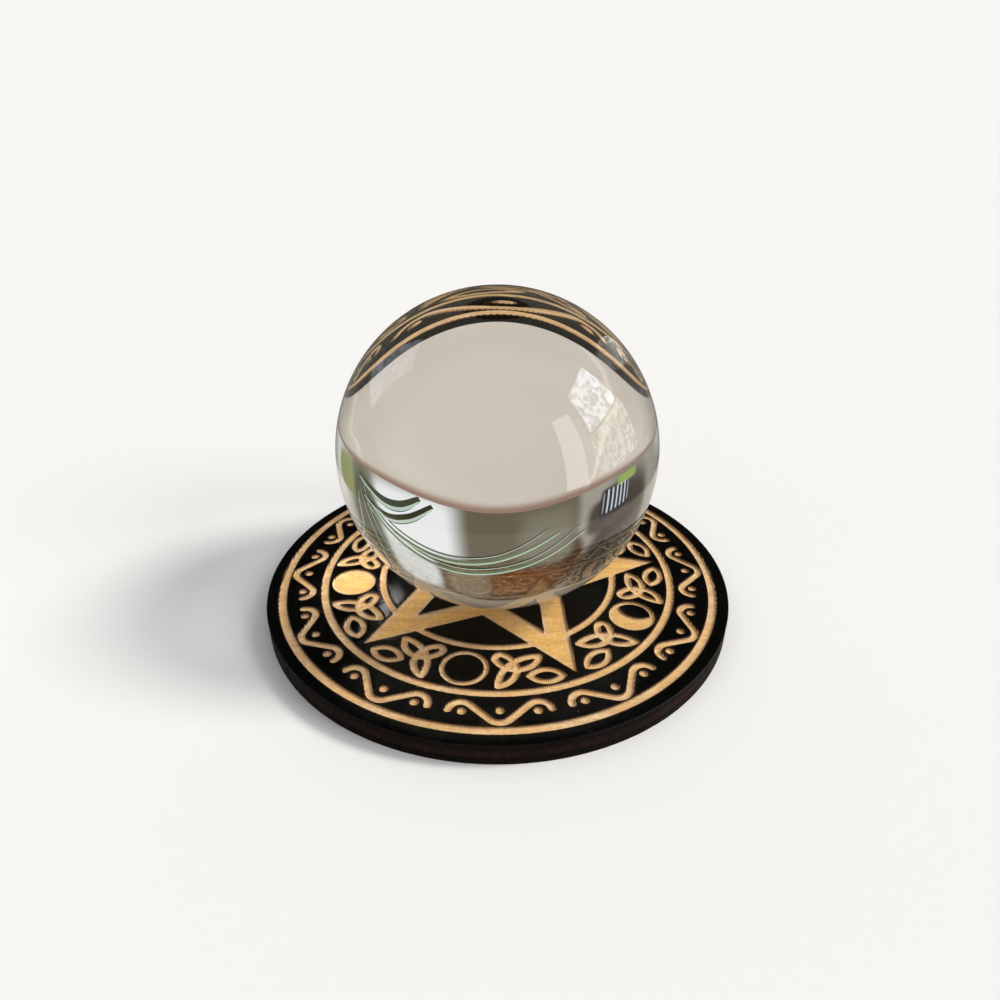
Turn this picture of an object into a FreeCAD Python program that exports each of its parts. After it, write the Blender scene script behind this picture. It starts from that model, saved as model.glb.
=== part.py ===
import FreeCAD, Part
import math
import os

import Sketcher
from FreeCAD import Placement, Rotation, Vector

# A solid glass ball resting in the round seat hole of a flat three-ply wooden disc.
# The disc's top is coated with black lacquer, and an engraving cut through the lacquer
# into the face ply draws rings, a star, moons, knots, leaves and a band of waves.
# Origin: middle of the underside. +Z is up, lengths are in millimetres, angles in degrees.

doc = FreeCAD.newDocument("crystal_ball")

SIZES = (
    ("ball_diameter", 59.5),
    ("ball_clearance", 0.05),
    ("disc_diameter", 92.0),
    ("ply_thickness", 1.4),
    ("film_thickness", 0.1),
    ("seat_diameter", 17.8),
    ("engraving_depth", 0.4),
    ("cutter_headroom", 0.3),
    ("pattern_turn", 60.5),
    # concentric engraved rings: middle radius and line width
    ("outer_ring_radius", 43.0),
    ("outer_ring_width", 1.6),
    ("middle_ring_radius", 34.9),
    ("middle_ring_width", 1.5),
    ("inner_ring_radius", 23.4),
    ("inner_ring_width", 1.4),
    # five-pointed star drawn as a flat band
    ("star_points", 5),
    ("star_tip_radius", 33.0),
    ("star_valley_radius", 14.4),
    ("star_band_width", 4.6),
    # wave band: one stroke with a pointed crest and two hooked ends, three dots beside it
    ("wave_count", 12),
    ("wave_line_width", 1.35),
    ("wave_crest_radius", 41.3),
    ("wave_crest_bend", 2.3),
    ("wave_trough_radius", 36.65),
    ("wave_trough_offset", 6.4),
    ("wave_trough_bend", 2.1),
    ("wave_hook_angle", 13.0),
    ("dot_radius", 0.8),
    ("dot_ring_radius", 38.7),
    ("dot_offset", 6.2),
    # moons between the star's arms
    ("moon_ring_radius", 29.2),
    ("moon_radius", 4.35),
    ("moon_line_width", 0.95),
    # three-lobed knots and leaves on both sides of each moon
    ("knot_line_width", 1.34),
    ("leaf_offset", 14.25),
    ("leaf_ring_radius", 28.3),
    ("leaf_tilt", 14.0),
    ("leaf_half_length", 3.6),
    ("leaf_half_width", 2.1),
    ("leaf_line_width", 1.2),
)

sheet = doc.addObject("Spreadsheet::Sheet", "sizes")
for row, (alias, value) in enumerate(SIZES, start=1):
    sheet.set(f"A{row}", alias)
    sheet.set(f"B{row}", str(value))
    sheet.setAlias(f"B{row}", alias)
doc.recompute()


def size(alias):
    """Value of one cell of the sheet."""
    return float(sheet.get(alias))


STAR_STEP = 360.0 / size("star_points")
ENGRAVING_FLOOR = "3 * sizes.ply_thickness - sizes.engraving_depth"
CUTTER_LENGTH = "sizes.engraving_depth + sizes.film_thickness + sizes.cutter_headroom"

# A three-lobed knot is one closed line of arcs. Each point is (sideways from the moon's axis,
# outward along it); the second knot mirrors the first across that axis. The lobe beside the
# moon is a round loop, and the other two come to a tip.
KNOT_INNER_TIP = Vector(12.3, 23.7, 0)
KNOT_OUTER_TIP = Vector(6.7, 32.5, 0)
KNOT_LOOP_START = Vector(5.1, 26.5, 0)
KNOT_LOOP_END = Vector(5.6, 24.6, 0)
KNOT_ARCS = (
    (KNOT_INNER_TIP, Vector(8.2, 28.0, 0), KNOT_LOOP_START),
    (KNOT_LOOP_START, Vector(4.75, 25.4, 0), KNOT_LOOP_END),
    (KNOT_LOOP_END, Vector(8.75, 27.0, 0), KNOT_OUTER_TIP),
    (KNOT_OUTER_TIP, Vector(7.35, 27.3, 0), KNOT_INNER_TIP),
)

# At a leaf's tips its line is this many times as long as it is wide.
LEAF_TIP_STRETCH = 1.3

# Moon phases in order round the disc, starting at the gap after the second star tip.
# A moon's dark area lies between its inner circle, on the side of the next moon, and an arc
# through "terminator", a fraction of the inner radius; the two meet at plus and minus
# "spread" degrees. None leaves the moon all bright, and "new" has only its outline.
MOON_PHASES = (
    ("full", None, 0.0),
    ("new", -1.0, 90.0),
    ("quarter", -0.1, 66.0),
    ("half", 0.3, 56.0),
    ("gibbous", 0.6, 44.0),
)


# ---------------------------------------------------------------- drawing helpers
def polar(radius, angle):
    """Point at a radius and an angle in degrees."""
    return Vector(radius * math.cos(math.radians(angle)), radius * math.sin(math.radians(angle)), 0)


def outward(point, direction):
    """Turn a (sideways, outward) point so that outward points along a direction in degrees."""
    return Rotation(Vector(0, 0, 1), direction - 90).multVec(Vector(-point.x, point.y, 0))


def mirrored(point, side):
    return Vector(point.x * side, point.y, 0)


def add_polygon(sketch, points):
    for start, end in zip(points, points[1:] + points[:1]):
        sketch.addGeometry(Part.LineSegment(start, end), False)


def add_arc(sketch, start, middle, end):
    sketch.addGeometry(Part.Arc(start, middle, end), False)


def add_circle(sketch, centre, radius):
    return sketch.addGeometry(Part.Circle(centre, Vector(0, 0, 1), radius), False)


def bound_circle(sketch, name, expression):
    """Circle about the origin whose radius follows the sheet."""
    index = add_circle(sketch, Vector(), 1.0)
    sketch.addConstraint(Sketcher.Constraint("Coincident", index, 3, -1, 1))
    number = sketch.addConstraint(Sketcher.Constraint("Radius", index, 1.0))
    sketch.renameConstraint(number, name)
    sketch.setExpression(f"Constraints.{name}", expression)


def arc_stroke(sketch, start, middle, end, width):
    """Closed outline of a round-ended line drawn along an arc."""
    circle = Part.Arc(start, middle, end).toShape().Curve
    centre, radius = circle.Center, circle.Radius
    half = width / 2

    def shifted(point, amount):
        return centre + (point - centre) * ((radius + amount) / radius)

    def past(tip, inner):
        along = (tip - centre).cross(Vector(0, 0, 1)).normalize() * half
        return tip + along if along.dot(inner - tip) < 0 else tip - along

    add_arc(sketch, shifted(start, half), shifted(middle, half), shifted(end, half))
    add_arc(sketch, shifted(end, half), past(end, middle), shifted(end, -half))
    add_arc(sketch, shifted(end, -half), shifted(middle, -half), shifted(start, -half))
    add_arc(sketch, shifted(start, -half), past(start, middle), shifted(start, half))


def lens_points(half_length, half_width):
    """Tips and arc middles of a pointed oval about the origin."""
    return (Vector(-half_length, 0, 0), Vector(0, half_width, 0),
            Vector(half_length, 0, 0), Vector(0, -half_width, 0))


# ---------------------------------------------------------------- bodies
def new_sketch(body, name):
    sketch = body.newObject("Sketcher::SketchObject", name)
    plane = next(item for item in body.Origin.OriginFeatures if item.Role == "XY_Plane")
    sketch.AttachmentSupport = [(plane, "")]
    sketch.MapMode = "FlatFace"
    return sketch


def pad(body, sketch, name, length):
    feature = body.newObject("PartDesign::Pad", name)
    feature.Profile = sketch
    feature.setExpression("Length", length)
    sketch.Visibility = False
    body.Tip = feature
    return feature


def repeat_round(body, features, name, count):
    """Polar pattern of some features about the Z axis."""
    axis = next(item for item in body.Origin.OriginFeatures if item.Role == "Z_Axis")
    pattern = body.newObject("PartDesign::PolarPattern", name)
    pattern.Originals = features
    pattern.Axis = (axis, [""])
    pattern.Angle = 360
    pattern.setExpression("Occurrences", count)
    body.Tip = pattern
    return pattern


def new_body(name, height):
    body = doc.addObject("PartDesign::Body", name)
    body.AllowCompound = True
    body.setExpression("Placement.Base.z", height)
    return body


def engraving_body(name, height=ENGRAVING_FLOOR):
    """Body turned with the pattern, its floor at the bottom of the engraving."""
    body = new_body(name, height)
    body.Placement.Rotation = Rotation(Vector(0, 0, 1), size("pattern_turn"))
    return body


# ---------------------------------------------------------------- engraving tools
def ring_cutter():
    body = engraving_body("ring_cutter")
    sketch = new_sketch(body, "ring_lines")
    for ring in ("outer_ring", "middle_ring", "inner_ring"):
        bound_circle(sketch, ring + "_out", f"sizes.{ring}_radius + sizes.{ring}_width / 2")
        bound_circle(sketch, ring + "_in", f"sizes.{ring}_radius - sizes.{ring}_width / 2")
    pad(body, sketch, "ring_depth", CUTTER_LENGTH)
    return body


def star_outline():
    points = []
    for arm in range(int(size("star_points"))):
        points.append(polar(size("star_tip_radius"), 90 + STAR_STEP * arm))
        points.append(polar(size("star_valley_radius"), 90 + STAR_STEP * (arm + 0.5)))
    return points


def star_window():
    """Triangle left standing inside the first arm, one band width in from its sides."""
    tip, valley = size("star_tip_radius"), polar(size("star_valley_radius"), 90 - STAR_STEP / 2)
    slope = math.atan2(valley.x, tip - valley.y)
    apex = tip - size("star_band_width") / math.sin(slope)
    reach = (apex - valley.y) * math.tan(slope)
    return [Vector(0, apex, 0), Vector(reach, valley.y, 0), Vector(-reach, valley.y, 0)]


def star_cutter():
    """Whole star, without its windows."""
    body = engraving_body("star_cutter")
    sketch = new_sketch(body, "star_outline")
    add_polygon(sketch, star_outline())
    pad(body, sketch, "star_depth", CUTTER_LENGTH)
    return body


def star_windows(name, height, length):
    body = engraving_body(name, height)
    sketch = new_sketch(body, name + "_triangle")
    add_polygon(sketch, star_window())
    first = pad(body, sketch, name + "_pad", length)
    repeat_round(body, [first], name + "_round", "sizes.star_points")
    return body


def wave_outline(sketch):
    """Stroke from hook to crest to hook, symmetric about the outward axis."""
    half = size("wave_line_width") / 2
    crest_bend, trough_bend = size("wave_crest_bend"), size("wave_trough_bend")
    crest = Vector(0, size("wave_crest_radius") - crest_bend, 0)
    trough = Vector(size("wave_trough_offset"), size("wave_trough_radius") + trough_bend, 0)
    between = trough - crest
    turn = math.degrees(math.atan2(between.y, between.x))
    turn += math.degrees(math.acos((crest_bend + trough_bend) / between.Length))
    hook = -size("wave_hook_angle")
    dip = (turn + 180 + 360 + hook) / 2

    for outer in (half, -half):
        crest_line, trough_line = crest_bend + outer, trough_bend - outer
        add_arc(sketch, crest + polar(crest_line, 180 - turn), crest + polar(crest_line, 90),
                crest + polar(crest_line, turn))
        for side in (1, -1):
            line_end = trough + polar(trough_line, turn + 180)
            add_arc(sketch, mirrored(line_end, side),
                    mirrored(trough + polar(trough_line, dip), side),
                    mirrored(trough + polar(trough_line, hook), side))
            sketch.addGeometry(Part.LineSegment(mirrored(crest + polar(crest_line, turn), side),
                                                mirrored(line_end, side)), False)
    for side in (1, -1):
        end = trough + polar(trough_bend, hook)
        add_arc(sketch, mirrored(end + polar(half, hook), side),
                mirrored(end + polar(half, hook + 90), side),
                mirrored(end - polar(half, hook), side))


def wave_cutter():
    body = engraving_body("wave_cutter")
    sketch = new_sketch(body, "wave_and_dots")
    wave_outline(sketch)
    for offset in (-size("dot_offset"), 0.0, size("dot_offset")):
        add_circle(sketch, Vector(offset, size("dot_ring_radius"), 0), size("dot_radius"))
    first = pad(body, sketch, "wave_depth", CUTTER_LENGTH)
    repeat_round(body, [first], "wave_round", "sizes.wave_count")
    return body


def knot_cutter():
    """Two mirrored knots and two leaves beside each moon; crossing lines are separate pads."""
    body = engraving_body("knot_cutter")
    features = []
    for number, arc in enumerate(KNOT_ARCS, start=1):
        sketch = new_sketch(body, f"knot_line_{number}")
        for side in (1, -1):
            placed = [outward(mirrored(point, side), 90 + STAR_STEP / 2) for point in arc]
            arc_stroke(sketch, *placed, size("knot_line_width"))
        features.append(pad(body, sketch, f"knot_depth_{number}", CUTTER_LENGTH))
    features.append(leaf_pad(body))
    repeat_round(body, features, "knot_round", "sizes.star_points")
    return body


def leaf_pad(body):
    sketch = new_sketch(body, "leaf_lines")
    length, width, line = size("leaf_half_length"), size("leaf_half_width"), size("leaf_line_width")
    place = Vector(size("leaf_offset"), size("leaf_ring_radius"), 0)
    tilt = Rotation(Vector(0, 0, 1), -size("leaf_tilt"))
    eye_width = width - line
    eye_length = length - line * LEAF_TIP_STRETCH
    for outline in (lens_points(length, width), lens_points(eye_length, eye_width)):
        for side in (1, -1):
            left, top, right, bottom = (
                outward(mirrored(tilt.multVec(point) + place, side), 90 + STAR_STEP / 2)
                for point in outline)
            add_arc(sketch, left, top, right)
            add_arc(sketch, right, bottom, left)
    return pad(body, sketch, "leaf_depth", CUTTER_LENGTH)


def moon_cutter():
    body = engraving_body("moon_cutter")
    sketch = new_sketch(body, "moon_phases")
    radius = size("moon_radius")
    inner = radius - size("moon_line_width")
    for number, (_, terminator, spread) in enumerate(MOON_PHASES):
        direction = 90 + STAR_STEP * (number + 0.5)
        centre = Vector(0, size("moon_ring_radius"), 0)
        add_circle(sketch, outward(centre, direction), radius)
        if terminator is None:
            continue
        if terminator == -1:
            add_circle(sketch, outward(centre, direction), inner)
            continue
        # sideways is positive towards the next moon
        ends = [outward(centre + polar(inner, angle), direction) for angle in (spread, -spread)]
        limb = outward(centre + Vector(inner, 0, 0), direction)
        shade = outward(centre + Vector(inner * terminator, 0, 0), direction)
        add_arc(sketch, ends[0], limb, ends[1])
        add_arc(sketch, ends[1], shade, ends[0])
    pad(body, sketch, "moon_depth", CUTTER_LENGTH)
    return body


# ---------------------------------------------------------------- sub-parts
def ball():
    sphere = doc.addObject("Part::Sphere", "crystal_ball")
    sphere.setExpression("Radius", "sizes.ball_diameter / 2")
    rise = "sqrt((sizes.ball_diameter / 2)^2 - (sizes.seat_diameter / 2)^2)"
    sphere.setExpression("Placement.Base.z", f"{ENGRAVING_FLOOR} + {rise} + sizes.ball_clearance")
    return sphere


def ply(name, level):
    """Disc with the seat hole, one veneer thick."""
    body = new_body(name, f"{level} * sizes.ply_thickness")
    sketch = new_sketch(body, name + "_outline")
    bound_circle(sketch, "edge", "sizes.disc_diameter / 2")
    bound_circle(sketch, "seat", "sizes.seat_diameter / 2")
    pad(body, sketch, name + "_thickness", "sizes.ply_thickness")
    return body


def film_ring(name, outer, inner):
    """Flat ring of lacquer on top of the face ply, between two radii; inner may be None."""
    body = new_body(name, "3 * sizes.ply_thickness")
    sketch = new_sketch(body, name + "_outline")
    bound_circle(sketch, "outer", outer)
    if inner:
        bound_circle(sketch, "inner", inner)
    pad(body, sketch, name + "_coat", "sizes.film_thickness")
    return body


def cut(name, base, tool):
    result = doc.addObject("Part::Cut", name)
    result.Base = base
    result.Tool = tool
    return result


rings = ring_cutter()
waves = wave_cutter()
star = star_cutter()
windows = star_windows("window_cutter", ENGRAVING_FLOOR, CUTTER_LENGTH)
star_band = cut("star_band", star, windows)

knots_and_moons = doc.addObject("Part::MultiFuse", "knots_and_moons")
knots_and_moons.Shapes = [knot_cutter(), moon_cutter(), star_band]

engraving = doc.addObject("Part::MultiFuse", "engraving")
engraving.Shapes = [rings, waves, knots_and_moons]

SUBPARTS = [
    ball(),
    cut("face_ply", ply("face_blank", 2), engraving),
    ply("core_ply", 1),
    ply("back_ply", 0),
    film_ring("lacquer_rim", "sizes.disc_diameter / 2",
              "sizes.outer_ring_radius + sizes.outer_ring_width / 2"),
    cut("lacquer_wave_band",
        film_ring("wave_band_blank", "sizes.outer_ring_radius - sizes.outer_ring_width / 2",
                  "sizes.middle_ring_radius + sizes.middle_ring_width / 2"), waves),
    cut("lacquer_knot_band",
        film_ring("knot_band_blank", "sizes.middle_ring_radius - sizes.middle_ring_width / 2",
                  "sizes.inner_ring_radius + sizes.inner_ring_width / 2"), knots_and_moons),
    cut("lacquer_star_field",
        film_ring("star_field_blank", "sizes.inner_ring_radius - sizes.inner_ring_width / 2", None),
        star),
    star_windows("lacquer_star_windows", "3 * sizes.ply_thickness", "sizes.film_thickness"),
]

doc.recompute()

for item in doc.Objects:
    if "Invalid" in item.State or "Error" in item.State:
        raise RuntimeError(f"{item.Name} did not build: {item.State}")

for item in SUBPARTS:
    if item.Shape.isNull() or not item.Shape.isValid():
        raise RuntimeError(f"{item.Label} has no valid shape")

os.makedirs("parts", exist_ok=True)
for item in SUBPARTS:
    item.Shape.exportStep(f"parts/{item.Label}.step")
    box = item.Shape.BoundBox
    print(f"{item.Label}: {len(item.Shape.Solids)} solids, {item.Shape.Volume:.1f} mm3, "
          f"z {box.ZMin:.3f} to {box.ZMax:.3f}")
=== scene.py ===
# %% [markdown]
# # A glass ball on its engraved stand
# The object is a solid ball of clear glass. It rests in a round hole in the middle of a flat
# wooden disc, and nothing but its weight holds it there.
# The disc is three veneers glued together. Its top is sprayed black, and a laser has burnt the
# drawing through the lacquer into the pale wood.
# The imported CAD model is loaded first. Every size below is read from it, so the finished
# pieces fit where the CAD pieces are.

import math

import bmesh
import bpy
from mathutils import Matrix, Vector, bvhtree, geometry, kdtree, noise


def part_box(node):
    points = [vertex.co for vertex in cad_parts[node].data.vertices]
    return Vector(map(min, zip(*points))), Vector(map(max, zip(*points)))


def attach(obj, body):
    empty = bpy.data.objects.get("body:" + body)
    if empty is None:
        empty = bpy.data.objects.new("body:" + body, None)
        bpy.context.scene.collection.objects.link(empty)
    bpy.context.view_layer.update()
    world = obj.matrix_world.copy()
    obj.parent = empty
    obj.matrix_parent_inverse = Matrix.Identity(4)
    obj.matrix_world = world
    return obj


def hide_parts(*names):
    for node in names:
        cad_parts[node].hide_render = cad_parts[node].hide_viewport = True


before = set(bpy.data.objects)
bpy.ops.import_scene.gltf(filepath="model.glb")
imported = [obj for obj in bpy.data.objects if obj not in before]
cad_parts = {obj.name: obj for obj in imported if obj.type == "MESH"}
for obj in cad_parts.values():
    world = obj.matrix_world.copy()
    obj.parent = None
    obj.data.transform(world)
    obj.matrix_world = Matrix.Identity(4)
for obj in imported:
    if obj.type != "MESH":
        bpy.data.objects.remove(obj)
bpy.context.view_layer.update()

# %% Sizes read from the frame
MM = 0.001

ball_low, ball_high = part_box("crystal_ball")
BALL_RADIUS = (ball_high.z - ball_low.z) / 2
BALL_CENTRE = Vector((0, 0, (ball_low.z + ball_high.z) / 2))

DISC_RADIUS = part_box("face_ply")[1].x
FACE_BOTTOM, WOOD_TOP = (corner.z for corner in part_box("face_ply"))
COAT_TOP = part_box("lacquer_rim")[1].z

face_levels = sorted({round(v.co.z, 6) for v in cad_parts["face_ply"].data.vertices})
ENGRAVED_LEVEL = face_levels[1]
SEAT_RADIUS = min(v.co.xy.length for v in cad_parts["face_ply"].data.vertices)
print(f"ball {BALL_RADIUS / MM:.1f} mm radius, disc {DISC_RADIUS / MM:.1f} mm radius, "
      f"engraving {(WOOD_TOP - ENGRAVED_LEVEL) / MM:.2f} mm deep")

# %% [markdown]
# # The camera
# A wide lens close to a small object gives the near edge of the disc its strong curve. The
# same picture can't be had by moving further off with a longer lens, so the distance and the
# lens are set together: about 14 cm away with a 27 mm lens on a 36 mm sensor.
# The camera looks down at about 30 degrees and aims about 11 mm below the ball's middle.

# %% Camera
SENSOR_WIDTH, LENS = 36.0, 26.9         # millimetres, as on a real camera
NEAREST = 10 * MM
EYE = Vector((0, -126.8, 93.0)) * MM
AIM = Vector((0.46, 0, 21.3)) * MM

camera_data = bpy.data.cameras.new("camera")
camera_data.sensor_width = SENSOR_WIDTH
camera_data.lens = LENS
camera_data.clip_start = NEAREST
camera = bpy.data.objects.new("camera", camera_data)
bpy.context.scene.collection.objects.link(camera)
camera.location = EYE
camera.rotation_mode = "QUATERNION"
camera.rotation_quaternion = (AIM - EYE).to_track_quat("-Z", "Y")
bpy.context.scene.camera = camera
print(f"camera {(camera.location - BALL_CENTRE).length / MM:.0f} mm from the ball's middle")

# %% [markdown]
# # Small tools for node trees
# Node materials are easiest to read when one line makes one node. This helper makes a node,
# sets its plain properties, and fills its inputs: a socket is linked and a number is set.

# %% Node helper
def add(tree, kind, options=None, inputs=None):
    """Make a node; options are its properties, inputs are values or sockets to link."""
    made = tree.nodes.new("ShaderNode" + kind)
    for name, value in (options or {}).items():
        setattr(made, name, value)
    for name, value in (inputs or {}).items():
        if isinstance(value, bpy.types.NodeSocket):
            tree.links.new(value, made.inputs[name])
        else:
            made.inputs[name].default_value = value
    return made


def maths(tree, operation, first, second=0.0, clamp=False):
    """A Math node's result."""
    options = {"operation": operation, "use_clamp": clamp}
    return add(tree, "Math", options, {0: first, 1: second}).outputs[0]


def blend_colour(tree, amount, first, second):
    """Mix two colours; amount 0 gives the first."""
    mix = add(tree, "Mix", {"data_type": "RGBA"})
    for index, value in ((0, amount), (6, first), (7, second)):
        if isinstance(value, bpy.types.NodeSocket):
            tree.links.new(value, mix.inputs[index])
        else:
            mix.inputs[index].default_value = value
    return mix.outputs[2]


def remap(tree, value, low, high, to_low=0.0, to_high=1.0, smooth=True):
    """Map Range with clamping."""
    options = {"interpolation_type": "SMOOTHSTEP" if smooth else "LINEAR"}
    inputs = {0: value, 1: low, 2: high, 3: to_low, 4: to_high}
    return add(tree, "MapRange", options, inputs).outputs[0]


def shade(red, green, blue):
    """A colour as a screen shows it (0 to 255), turned into the linear value a shader needs."""
    def linear(part):
        part /= 255
        return part / 12.92 if part <= 0.04045 else ((part + 0.055) / 1.055) ** 2.4
    return (linear(red), linear(green), linear(blue), 1.0)


def new_material(name):
    material = bpy.data.materials.new(name)
    material.use_nodes = True
    return material, material.node_tree, material.node_tree.nodes["Principled BSDF"]


print("node helpers ready")

# %% [markdown]
# # Effects shared by several materials
# Grain, speckle and scorching appear on more than one finish. Each is a node group with named
# inputs, made once and placed in each material with its own numbers.
# A group only works out masks and heights. The shader itself stays in the material, where the
# baker can read it.

# %% Group builder
def new_group(name, inputs, outputs):
    """An empty node group; inputs are (name, default) pairs, outputs are names."""
    group = bpy.data.node_groups.new(name, "ShaderNodeTree")
    for label, default in inputs:
        socket = group.interface.new_socket(label, in_out="INPUT", socket_type="NodeSocketFloat")
        socket.default_value = default
    for label in outputs:
        group.interface.new_socket(label, in_out="OUTPUT", socket_type="NodeSocketFloat")
    start = group.nodes.new("NodeGroupInput")
    end = group.nodes.new("NodeGroupOutput")
    return group, start.outputs, end.inputs


def place_group(tree, group, **values):
    """Put a group into a material and set its named inputs."""
    made = tree.nodes.new("ShaderNodeGroup")
    made.node_tree = group
    for name, value in values.items():
        socket = made.inputs[name.replace("_", " ")]
        if isinstance(value, bpy.types.NodeSocket):
            tree.links.new(value, socket)
        else:
            socket.default_value = value
    return made.outputs


print("group helpers ready")

# %% [markdown]
# ## Wood grain
# Rotary-cut birch shows long, faint streaks and short dark pores, all along one direction.
# Both are noise stretched about ten to one: a coarse one for the streaks, a fine one for pores.

# %% Wood grain group
wood_grain, given, result = new_group(
    "wood grain", [("Streak Size", 600.0), ("Pore Size", 2500.0)], ["Streaks", "Pores"])
place = add(wood_grain, "TexCoord").outputs["Object"]
along = add(wood_grain, "Mapping", None, {"Vector": place, "Scale": (0.09, 1.0, 1.0),
                                          "Rotation": (0, 0, math.radians(12))}).outputs[0]
streaks = add(wood_grain, "TexNoise", None, {"Vector": along, "Scale": given["Streak Size"],
                                             "Detail": 5.0, "Roughness": 0.6}).outputs[0]
pores = add(wood_grain, "TexNoise", None, {"Vector": along, "Scale": given["Pore Size"],
                                           "Detail": 2.0, "Roughness": 0.5}).outputs[0]
wood_grain.links.new(remap(wood_grain, streaks, 0.3, 0.7), result["Streaks"])
wood_grain.links.new(remap(wood_grain, pores, 0.58, 0.72), result["Pores"])
print("wood grain group:", len(wood_grain.nodes), "nodes")

# %% [markdown]
# ## Speckle
# Dust on the lacquer and char grains on the burnt edge are both sparse round flecks. Voronoi
# cells give them: the distance to a cell's middle makes a dot, and the cell's random colour
# decides whether that cell has one.

# %% Speckle group
speckle, given, result = new_group(
    "speckle", [("Size", 900.0), ("Share", 0.1), ("Dot", 0.18)], ["Flecks"])
place = add(speckle, "TexCoord").outputs["Object"]
cells = add(speckle, "TexVoronoi", None, {"Vector": place, "Scale": given["Size"],
                                          "Randomness": 1.0})
chance = add(speckle, "SeparateColor", None, {0: cells.outputs["Color"]})
chosen = maths(speckle, "LESS_THAN", chance.outputs[0], given["Share"])
width = maths(speckle, "MULTIPLY", given["Dot"], chance.outputs[1])
dot = maths(speckle, "LESS_THAN", cells.outputs["Distance"], width)
speckle.links.new(maths(speckle, "MULTIPLY", chosen, dot), result["Flecks"])
print("speckle group:", len(speckle.nodes), "nodes")

# %% [markdown]
# ## Scorch
# A laser burns darkest at the walls of a groove, where it stops and starts. Each mesh below
# carries its own "wall" number, the distance to the nearest wall in millimetres. The group
# turns that distance into a mask and makes its edge uneven, as smoke stains are.
# The laser sweeps to and fro in parallel passes a third of a millimetre apart, so the edge of
# a groove is slightly toothed where it crosses them. The comb gives those teeth.

# %% Scorch group
LASER_PASSES = 950.0      # wave texture scale that repeats every 0.33 mm
RIBS_PER_PASS = 1.3       # the ribs on the groove's floor are a little finer

scorch, given, result = new_group(
    "scorch", [("Reach", 0.4), ("Unevenness", 0.3), ("Grain Size", 1400.0), ("Comb", 0.1)], ["Burn"])
wall = add(scorch, "Attribute", {"attribute_name": "wall"}).outputs["Fac"]
place = add(scorch, "TexCoord").outputs["Object"]
ragged = add(scorch, "TexNoise", None, {"Vector": place, "Scale": given["Grain Size"],
                                        "Detail": 3.0}).outputs[0]
shift = maths(scorch, "MULTIPLY", maths(scorch, "SUBTRACT", ragged, 0.5), given["Unevenness"])
teeth = add(scorch, "TexWave", {"bands_direction": "X"},
            {"Vector": place, "Scale": LASER_PASSES, "Distortion": 1.2, "Detail": 1.0}).outputs["Fac"]
comb = maths(scorch, "MULTIPLY", maths(scorch, "SUBTRACT", teeth, 0.5), given["Comb"])
reached = maths(scorch, "ADD", maths(scorch, "ADD", wall, shift), comb)
share = maths(scorch, "DIVIDE", reached, given["Reach"])
scorch.links.new(remap(scorch, share, 0.0, 1.0, 1.0, 0.0), result["Burn"])
print("scorch group:", len(scorch.nodes), "nodes")

# %% [markdown]
# # Clear glass
# The ball is optical glass, so its look is all refraction: it turns the scene behind it upside
# down. One Principled shader with full transmission does that. The index 1.517 is that of
# crown glass, and the faint green tint is what a thick piece of it shows.

# %% Glass material
glass, tree, shader = new_material("clear_crown_glass")
shader.inputs["Base Color"].default_value = (0.985, 0.992, 0.985, 1)
shader.inputs["Transmission Weight"].default_value = 1.0
shader.inputs["IOR"].default_value = 1.517
place = add(tree, "TexCoord").outputs["Object"]
smear = add(tree, "TexNoise", None, {"Vector": place, "Scale": 60.0, "Detail": 3.0}).outputs[0]
flecks = place_group(tree, speckle, Size=420.0, Share=0.02, Dot=0.1)["Flecks"]
polish = remap(tree, smear, 0.62, 0.8, 0.0, 0.012)
tree.links.new(maths(tree, "ADD", polish, maths(tree, "MULTIPLY", flecks, 0.15)),
               shader.inputs["Roughness"])
print("glass index", round(shader.inputs["IOR"].default_value, 3))

# %% [markdown]
# # Engraved wood
# Where the laser has cut through the lacquer the birch shows. A thin line is pale cream, with a
# dark brown edge; the broad arms of the star are a warmer honey gold. The "wall" number tells
# the two apart: only a broad area has places more than a millimetre from a wall.
# The laser's passes leave a fine ribbed surface, so a wave texture adds ribs to the bump.

# %% Engraved wood material
engraved_wood, tree, shader = new_material("engraved_birch")
grain = place_group(tree, wood_grain, Streak_Size=700.0, Pore_Size=3200.0)
burn = place_group(tree, scorch, Reach=0.17, Unevenness=0.12, Grain_Size=2600.0, Comb=0.15)["Burn"]
place = add(tree, "TexCoord").outputs["Object"]
mottle = add(tree, "TexNoise", None, {"Vector": place, "Scale": 1500.0, "Detail": 4.0,
                                      "Roughness": 0.7}).outputs[0]
clouds = add(tree, "TexNoise", None, {"Vector": place, "Scale": 90.0, "Detail": 2.0}).outputs[0]
from_wall = add(tree, "Attribute", {"attribute_name": "wall"}).outputs["Fac"]
cream = blend_colour(tree, grain["Streaks"], shade(212, 174, 126), shade(240, 210, 166))
honey = blend_colour(tree, grain["Streaks"], shade(224, 168, 88), shade(250, 206, 124))
wood = blend_colour(tree, remap(tree, from_wall, 0.55, 1.3), cream, honey)
wood = blend_colour(tree, remap(tree, clouds, 0.35, 0.65, 0.0, 0.5), wood, shade(238, 190, 116))
wood = blend_colour(tree, remap(tree, mottle, 0.35, 0.7, 0.42, 0.0), wood, shade(176, 126, 74))
wood = blend_colour(tree, maths(tree, "MULTIPLY", grain["Pores"], 0.4), wood, shade(130, 82, 40))
burnt = blend_colour(tree, maths(tree, "POWER", burn, 1.5), wood, shade(62, 36, 20))
tree.links.new(burnt, shader.inputs["Base Color"])
tree.links.new(remap(tree, mottle, 0.3, 0.7, 0.55, 0.85), shader.inputs["Roughness"])
ribs = add(tree, "TexWave", {"bands_direction": "X"},
           {"Vector": place, "Scale": LASER_PASSES * RIBS_PER_PASS, "Distortion": 1.5,
            "Detail": 1.0}).outputs["Fac"]
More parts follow.
